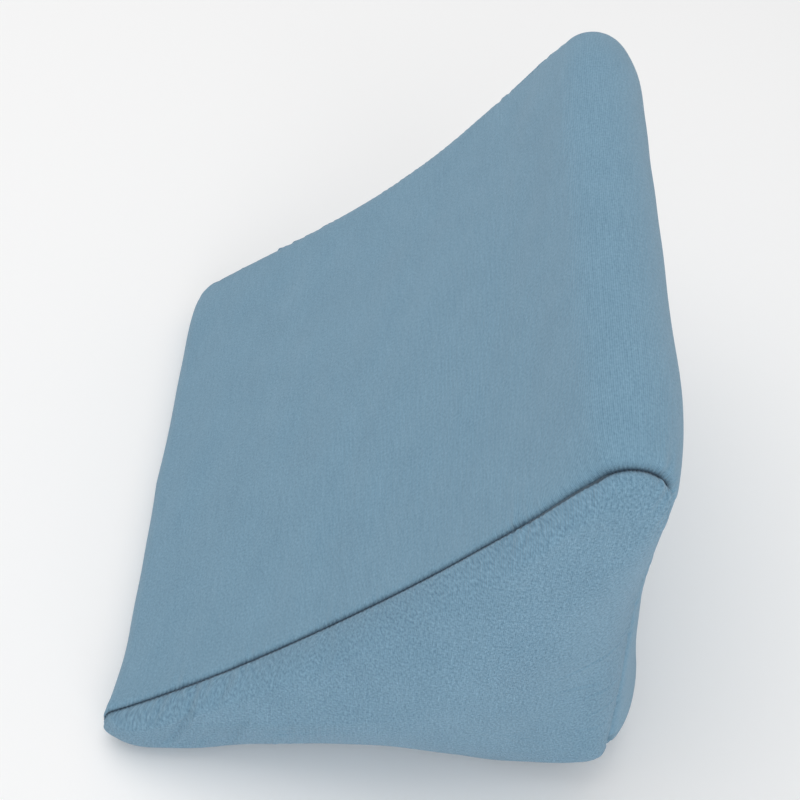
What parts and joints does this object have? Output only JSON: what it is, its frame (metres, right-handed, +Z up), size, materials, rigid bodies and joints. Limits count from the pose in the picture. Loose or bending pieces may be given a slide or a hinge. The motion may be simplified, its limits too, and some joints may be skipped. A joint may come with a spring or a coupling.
{
  "type": "wedge pillow",
  "caption": "Filled wedge pillow in a sewn cloth cover: a sloping face, a rounded peak, a flat base and three-cornered side panels.",
  "frame": {"origin": "middle of the flat underside", "axes": "+X from the thin toe to the tall back, +Y across the pillow's width, +Z up"},
  "size_m": [0.3859, 0.4964, 0.3473],
  "materials": {
    "wrap_cloth": "brushed heather-blue knit, soft and matt",
    "side_cloth": "brushed heather-blue knit, soft and matt, with a grainier nap"
  },
  "bodies": {
    "root": {"filled_wedge": "wrap_cloth", "near_side_panel": "side_cloth", "far_side_panel": "side_cloth"}
  },
  "joints": []
}
